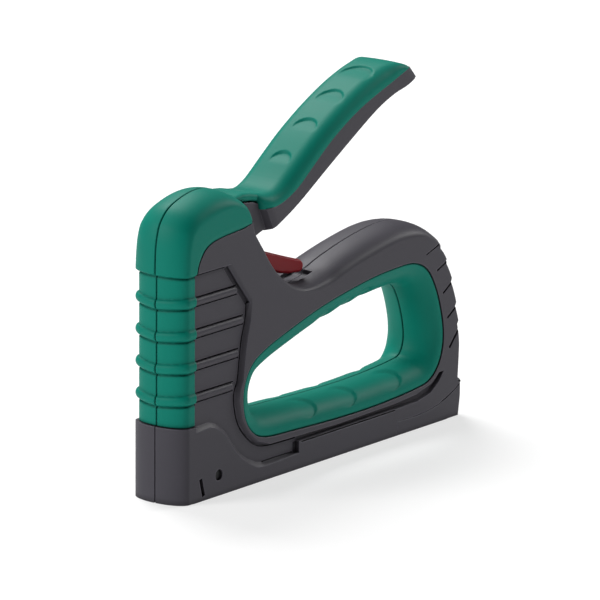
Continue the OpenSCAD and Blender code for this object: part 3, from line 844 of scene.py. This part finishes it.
def loop_grip_solid(sizes):
    """Right half of the rounded liner, swept round the loop, with crescent imprints on the bars."""
    edge, seam, bulge = sizes.half_width - 0.25, sizes.seam, sizes.bulge
    line = smooth_line(LOOP, 12, closed=True)
    path = evenly(line + [line[0]], 1.0)[:-1]
    n, rings = len(path), 26

    def imprint(x, z, angle):
        """How deep the crescents are at a place."""
        deep = 0.0
        for cx, top in LOOP_CRESCENTS:
            if (z > 50) == bool(top) and abs(x - cx) < 16:
                u, v = (x - cx) / 9.0, (math.degrees(angle) - 46) / 30.0
                r = math.hypot(u, v)
                if r < 1 and u > -0.7:
                    deep += 0.9 * eased((1 - r) * 7) * eased((u + 0.7) / 1.5)
        return deep

    def place(i, j):
        a, b = path[i - 1], path[(i + 1) % n]
        d = math.dist(a, b)
        nx, nz = -(b[1] - a[1]) / d, (b[0] - a[0]) / d
        x, z = path[i]
        if j >= rings + 1:
            lift, y = -0.1, -seam - (edge - seam - 0.5) * (j - rings - 1) / 3
        else:
            t = math.pi / 2 * min(1.0, j / (rings - 1))
            if j == 0:
                lift, y = 0.15, -edge + 0.55
            elif j < rings - 1:
                lift, y = bulge * math.sin(t) ** 0.92, -edge * math.cos(t)
            elif j == rings - 1:
                lift, y = bulge, -seam - SEAM_BEVEL
            else:
                lift, y = bulge - 0.4, -seam
            lift -= imprint(x, z, t)
        return (x + nx * lift, y, z + nz * lift)

    return outwards(sheet(n, rings + 5, place, close_u=True, close_v=True))


def cap_solid(sizes):
    """The magazine's rear foot, cut from the same rounded body, with the rail's slot."""
    half = carved(body_half(sizes, 0.0), (KEEP, slab(cap_zone(0.0), BESIDE, ACROSS)))
    return carved(double_sided(half), (CUT, box(150, 192, -4.55, 4.55, -1, 11.05)),
                  (CUT, box(150, 178.5, 5.4, 6.4, 1.2, 5.3)))


# --- Handle ---

def handle_lines(count):
    """The handle's lower, middle and upper lines, each as equally many points."""
    shares = [i / (count - 1) for i in range(count)]
    return [along(smooth_line(line, 6), shares) for line in (HANDLE_LOW, HANDLE_MID, HANDLE_TOP)]


def front_width(wide, reach, run):
    """Half width of the handle, which narrows in a quarter round to its front end."""
    t = min(1.0, reach / run)
    return wide - 3.6 * (1 - math.sqrt(1 - (1 - t) ** 2))


def end_tuck(i, count, start, run, radius):
    """How far a section near either end of the handle shrinks, so that the ends are rounded."""
    t = min(1.0, (min(i, count - 1 - i) + start) / run)
    return radius * (1 - math.sqrt(max(0.0, 1 - (1 - t) ** 2)))


def swept(sections):
    """A closed solid through sections of equally many points, with flat ends."""
    nu, nv = len(sections) - 1, len(sections[0])
    return close_ends(sheet(nu, nv, lambda i, j: sections[i][j], close_v=True))


def handle_grip_solid(sizes):
    """Green top of the handle: a long pad with rolled edges and four crescent imprints."""
    count, faces = 300, 64
    _, mid, top = handle_lines(count)
    flat = 0.66  # share of the faces on the top, the others are on the rolled edges

    def section(i):
        (tx, tz), (mx, mz) = top[i], mid[i]
        high = math.dist((tx, tz), (mx, mz))
        dx, dz = (mx - tx) / high, (mz - tz) / high
        tuck = end_tuck(i, count, 0.5, 5.0, 1.3)
        wide = front_width(sizes.handle_half, math.dist(top[i], top[0]), 7.5)
        side = 6.2 - 3.4 * eased((i / (count - 1) - 0.86) / 0.12)
        roll = min(side - 0.6, high * 0.8)
        points = [(-(wide - tuck), high)]
        for k in range(faces + 1):
            v = -1.0 + 2.0 * k / faces
            t = abs(v)
            if t < flat:
                y, drop = t / flat * (wide - side), 0.0
            else:
                a = (t - flat) / (1 - flat) * math.pi / 2
                y, drop = (wide - side) + side * math.sin(a), roll * (1 - math.cos(a))
            drop += 0.5 * (y / wide) ** 2 + tuck
            x = tx + dx * drop
            for cx, along_x, along_y in HANDLE_CRESCENTS:
                u, w = (x - cx) / along_x, (math.copysign(y, v) + 1.2) / along_y
                r = math.hypot(u, w)
                if r < 1 and u > -0.5:
                    drop += 0.85 * eased((1 - r) * min(along_x, along_y) / 0.7) * eased((u + 0.5) / 1.3)
            points.append((math.copysign(min(y, wide - tuck), v), min(drop, high - 0.05)))
        points.append((wide - tuck, high))
        return [(tx + dx * d, y, tz + dz * d) for y, d in points]

    collar = arc(*PIVOT, 15.4, 140, 92, 6)
    collar += [(46, 127.9), (50, 128.3), (54, 127.8), (60, 126.4), (61, 122.4), (56, 123.6)]
    collar += [(50, 124.4)] + arc(*PIVOT, 12.2, 76, 140, 6)
    neck = double_sided(round_slab(collar, 9.2, 1.6, 2.4))
    return carved(swept([section(i) for i in range(count)]), (JOIN, neck))


def handle_core_solid(sizes):
    """Charcoal trough of the handle, open below, with two cheeks round the pivot."""
    count = 60
    low, mid, _ = handle_lines(count)
    # From the pad down the outside to the rim: share of the half width, share of the height
    profile = [(-1.0, 0.0), (-1.0, 0.86), (-0.985, 0.95), (-0.95, 1.0), (-0.83, 1.0), (-0.79, 0.96)]

    def section(i):
        (lx, lz), (mx, mz) = low[i], mid[i]
        high = math.dist((lx, lz), (mx, mz))
        roof = min(3.6, high * 0.5) / high
        roof += (0.93 - roof) * eased((lx - 153) / 4)
        wide = front_width(sizes.handle_half, math.dist(low[i], low[0]), 5.0)
        wide -= end_tuck(i, count, 0.3, 1.6, 1.6)
        points = profile + [(-0.78, roof + 0.04), (-0.74, roof)]
        points = points + [(-y, t) for y, t in reversed(points)]
        return [(mx + (lx - mx) * t, y * wide, mz + (lz - mz) * t) for y, t in points]

    cheek = arc(*PIVOT, 12, 76, 140, 8) + arc(*PIVOT, 9, 140, 298, 8)
    cheek += [(51, 104.6), (55.5, 107.2), (60, 108.9), (66, 110.6), (66, 118.4), (61, 121.6)]
    cheek += [(56, 123.4), (50, 124.2)]
    side = slab(cheek, -9.2, -6.6)
    other = mirrored(side)
    holes = merged(disc(*PIVOT, 2.55, -12, 12), disc(76, 116.1, 1.05, -11.5, 11.5),
                   disc(90, 123.8, 1.05, -11.5, 11.5))
    return carved(swept([section(i) for i in range(count)]), (JOIN, side), (JOIN, other), (CUT, holes))


def lever_solid():
    """Red lock lever: a rounded paddle with thumb grooves on its top."""
    outline = arc(*LEVER_PIVOT, 3.0, 70, 250, 12) + [(63, 93.4), (70.2, 90.4), (80, 86.6), (88, 84.8)]
    outline += arc(95, 87, 3.0, 262, 430, 12) + [(88, 92.4), (80, 95.1), (71.9, 97.9)]
    grooves = merged(*[tilted(x, z, x + 0.3, z + 0.9, 0.9, -3.4, 3.4) for x, z in LEVER_GROOVES])
    paddle = double_sided(round_slab(outline, 5, 1.5, 2.2))
    return carved(paddle, (CUT, disc(*LEVER_PIVOT, 1.55, -12, 12)), (CUT, grooves))


def coil(radius, wire, length, turns):
    """A spring of round wire wound up the Z axis from 0 to its length."""
    steps, sides = 24, 8
    count = turns * steps

    def place(i, j):
        a, b = 2 * math.pi * i / steps, 2 * math.pi * j / sides
        r = radius + wire / 2 * math.cos(b)
        z = wire / 2 * (1 + math.sin(b)) + (length - wire) * i / count
        return (r * math.cos(a), r * math.sin(a), z)

    return close_ends(sheet(count, sides, place, close_v=True))


# --- Operators ---

def sizes_of(context):
    return context.scene.stapler_sizes, context.scene.stapler_finishes


def pair(right, left, kind, material):
    """Finishes the right and the left piece of one kind."""
    piece(right, f"right_{kind}", "body", [f"{kind}_right"], material)
    piece(left, f"left_{kind}", "body", [f"{kind}_left"], material)


class STAPLER_OT_shells(bpy.types.Operator):
    """Makes the two charcoal shells"""
    bl_idname = "stapler.shells"
    bl_label = "Shells"

    def execute(self, context):
        sizes, colors = sizes_of(context)
        right = shell_solid(sizes)
        holes = merged(*[disc(x, z, 2.85, 12.4, 20) for x, z in SCREWS])
        left = carved(mirrored(right), (CUT, holes))
        plastic = hard_plastic("charcoal shell plastic", colors.charcoal)
        pair(right, left, "shell", plastic)
        return {"FINISHED"}


class STAPLER_OT_front_grips(bpy.types.Operator):
    """Makes the green skin of the dome and the ringed front wall"""
    bl_idname = "stapler.front_grips"
    bl_label = "Front grips"

    def execute(self, context):
        sizes, colors = sizes_of(context)
        right = carved(front_grip_solid(sizes), *dome_slot())
        rubber = soft_rubber("green soft skin", colors.green)
        pair(right, mirrored(right), "front_grip", rubber)
        return {"FINISHED"}


class STAPLER_OT_loop_grips(bpy.types.Operator):
    """Makes the green rounded liner of the hand loop"""
    bl_idname = "stapler.loop_grips"
    bl_label = "Loop grips"

    def execute(self, context):
        sizes, colors = sizes_of(context)
        right = loop_grip_solid(sizes)
        rubber = soft_rubber("green loop liner", colors.green)
        pair(right, mirrored(right), "loop_grip", rubber)
        return {"FINISHED"}


class STAPLER_OT_magazine_cap(bpy.types.Operator):
    """Makes the rear foot that pulls the magazine out"""
    bl_idname = "stapler.magazine_cap"
    bl_label = "Magazine cap"

    def execute(self, context):
        sizes, colors = sizes_of(context)
        plastic = hard_plastic("charcoal cap plastic", colors.charcoal)
        foot = cap_solid(sizes)
        piece(foot, "magazine_foot", "magazine", ["magazine_cap"], plastic)
        return {"FINISHED"}


class STAPLER_OT_handle(bpy.types.Operator):
    """Makes the handle's green pad and charcoal trough"""
    bl_idname = "stapler.handle"
    bl_label = "Handle"

    def execute(self, context):
        sizes, colors = sizes_of(context)
        rubber = soft_rubber("green handle pad", colors.green)
        plastic = hard_plastic("charcoal handle plastic", colors.charcoal)
        pad, trough = handle_grip_solid(sizes), handle_core_solid(sizes)
        piece(pad, "handle_pad", "handle", ["handle_grip"], rubber, 50)
        piece(trough, "handle_trough", "handle", ["handle_core"], plastic)
        return {"FINISHED"}


class STAPLER_OT_lock_lever(bpy.types.Operator):
    """Makes the red lever that locks the handle"""
    bl_idname = "stapler.lock_lever"
    bl_label = "Lock lever"

    def execute(self, context):
        _, colors = sizes_of(context)
        plastic = gloss_plastic("red lever plastic", colors.red)
        piece(lever_solid(), "red_lever", "lock", ["lock_lever"], plastic)
        return {"FINISHED"}


class STAPLER_OT_springs(bpy.types.Operator):
    """Winds the drive spring and the pusher spring at the length of their CAD nodes"""
    bl_idname = "stapler.springs"
    bl_label = "Springs"

    def execute(self, context):
        sizes, colors = sizes_of(context)
        wire = brushed_steel("drawn spring wire", shade(colors.steel, 0.6), 0.3, (1.0, 1.0, 1.0))
        thick_of = {"drive_spring": sizes.drive_wire, "feed_spring": sizes.feed_wire}
        for name, node, body, joint, travel, turns, lies in SPRINGS:
            thick = thick_of[name]
            lo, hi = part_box(node)
            length = hi.x - lo.x if lies else hi.z - lo.z
            bm = coil((hi.y - lo.y) * 500 - thick / 2, thick, length * 1000, turns)
            if lies:
                bmesh.ops.rotate(bm, matrix=Matrix.Rotation(math.pi / 2, 3, "Y"), verts=bm.verts)
            middle = (lo + hi) / 2
            start = Vector((lo.x - NOSE_X, 0, middle.z) if lies else (middle.x - NOSE_X, 0, lo.z))
            bmesh.ops.translate(bm, vec=start * 1000, verts=bm.verts)
            made = piece(bm, name, body, [node], wire)
            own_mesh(made)
        return {"FINISHED"}


class STAPLER_OT_steel_parts(bpy.types.Operator):
    """Finishes the steel and rubber parts of the drive and the magazine"""
    bl_idname = "stapler.steel_parts"
    bl_label = "Steel parts"

    def execute(self, context):
        _, colors = sizes_of(context)
        steel = colors.steel
        bright = brushed_steel("zinc-plated steel", steel, 0.24, (0.15, 1.0, 1.0))
        sheet_steel = brushed_steel("magazine sheet steel", shade(steel, 0.9), 0.3, (0.05, 1.0, 1.0))
        # Blackened steel at a tenth of the steel's colour: partly a real blackened finish, partly
        # painted shade, so that the pin hole at the nose looks deep and dark.
        dark = brushed_steel("blackened steel with painted hole shade", shade(steel, 0.1), 0.4, (1.0, 1.0, 0.12))
        spring = brushed_steel("oil-tempered spring wire", shade(steel, 0.6), 0.3, (0.4, 0.4, 1.0))
        rubber = black_rubber("bumper rubber")
        finish = {
            bright: ("shell_screws", "nose_plate", "driver_blade", "arm_pins", "handle_pin", "lock_pin",
                     "handle_arm", "spring_seat"),
            sheet_steel: ("magazine_channel", "staple_rail"),
            dark: ("channel_pins", "pusher", "pusher_rod", "plunger"),
            spring: ("catch_spring", "return_spring"),
            rubber: ("bumper",),
        }
        for material, names in finish.items():
            for name in names:
                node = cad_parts[name]
                node.data.materials.clear()
                node.data.materials.append(material)
        return {"FINISHED"}


def make_floor():
    """A wide pale floor under the object."""
    bm = bmesh.new()
    bmesh.ops.create_grid(bm, x_segments=8, y_segments=8, size=30.0)
    bmesh.ops.translate(bm, vec=(0, 0, CAD_LO.z), verts=bm.verts)
    floor = thing(bm, "floor")
    pale = Recipe("pale floor")
    pale.finish(pale.blend(pale.noise(3.0), (0.36, 0.36, 0.36), (0.39, 0.39, 0.39)), 0.9,
                Specular_IOR_Level=0.0, Emission_Color=(1, 1, 1, 1), Emission_Strength=0.62)
    floor.data.materials.append(pale.material)


def make_camera(scene, lens):
    """The camera, placed from the nose along its own axes."""
    turn, rise, roll = (math.radians(a) for a in (CAMERA_TURN, CAMERA_RISE, CAMERA_ROLL))
    back = Vector((math.sin(turn) * math.cos(rise), -math.cos(turn) * math.cos(rise), math.sin(rise)))
    level = Vector((math.cos(turn), math.sin(turn), 0))
    above = back.cross(level)
    right = level * math.cos(roll) + above * math.sin(roll)
    up = above * math.cos(roll) - level * math.sin(roll)
    camera = bpy.data.objects.new("camera", bpy.data.cameras.new("camera"))
    camera.data.lens = lens
    camera.data.sensor_width = 36.0
    camera.data.clip_end = 50.0
    camera.matrix_world = Matrix((right, up, back)).transposed().to_4x4()
    place = Vector((NOSE_X, 0, 0)) + right * CAMERA_RIGHT + up * CAMERA_UP + back * CAMERA_BACK
    camera.location = place
    scene.collection.objects.link(camera)
    scene.camera = camera


def make_lights(scene):
    """Round soft lights that face the object."""
    for name, where, wide, power in LIGHTS:
        lamp = bpy.data.lights.new(name, "AREA")
        lamp.shape, lamp.size, lamp.energy = "DISK", wide, power
        light = bpy.data.objects.new(name, lamp)
        light.matrix_world = (Vector(where) - LIT_POINT).to_track_quat("Z", "Y").to_matrix().to_4x4()
        light.location = where
        scene.collection.objects.link(light)


class STAPLER_OT_stage(bpy.types.Operator):
    """Sets up the pale floor, the soft lights and the camera"""
    bl_idname = "stapler.stage"
    bl_label = "Stage"

    def execute(self, context):
        scene = context.scene
        sizes, _ = sizes_of(context)
        make_floor()
        scene.world = bpy.data.worlds.new("studio")
        scene.world.use_nodes = True
        color, strength = scene.world.node_tree.nodes["Background"].inputs[:2]
        color.default_value, strength.default_value = (1, 1, 1, 1), 0.1
        scene.view_settings.view_transform = "Standard"
        make_camera(scene, sizes.camera_lens)
        make_lights(scene)
        return {"FINISHED"}


OPERATORS = (STAPLER_OT_shells, STAPLER_OT_front_grips, STAPLER_OT_loop_grips, STAPLER_OT_magazine_cap,
             STAPLER_OT_handle, STAPLER_OT_lock_lever, STAPLER_OT_springs, STAPLER_OT_steel_parts,
             STAPLER_OT_stage)  # main runs them in this order


class STAPLER_PT_panel(bpy.types.Panel):
    """Sizes, finishes and pieces of the staple gun"""
    bl_label = "Staple Gun"
    bl_idname = "STAPLER_PT_panel"
    bl_space_type = "VIEW_3D"
    bl_region_type = "UI"
    bl_category = "Staple Gun"

    def draw(self, context):
        for group in sizes_of(context):
            for key in group.bl_rna.properties.keys():
                if key not in ("rna_type", "name"):
                    self.layout.prop(group, key)
        for operator in OPERATORS:
            self.layout.operator(operator.bl_idname)


CLASSES = (BodySizes, Finishes, *OPERATORS, STAPLER_PT_panel)


def register():
    for cls in CLASSES:
        bpy.utils.register_class(cls)
    bpy.types.Scene.stapler_sizes = bpy.props.PointerProperty(type=BodySizes)
    bpy.types.Scene.stapler_finishes = bpy.props.PointerProperty(type=Finishes)


def unregister():
    del bpy.types.Scene.stapler_sizes
    del bpy.types.Scene.stapler_finishes
    for cls in reversed(CLASSES):
        bpy.utils.unregister_class(cls)


def main():
    register()
    for operator in OPERATORS:
        getattr(bpy.ops.stapler, operator.bl_idname.split(".")[1])()


if __name__ == "__main__":
    main()
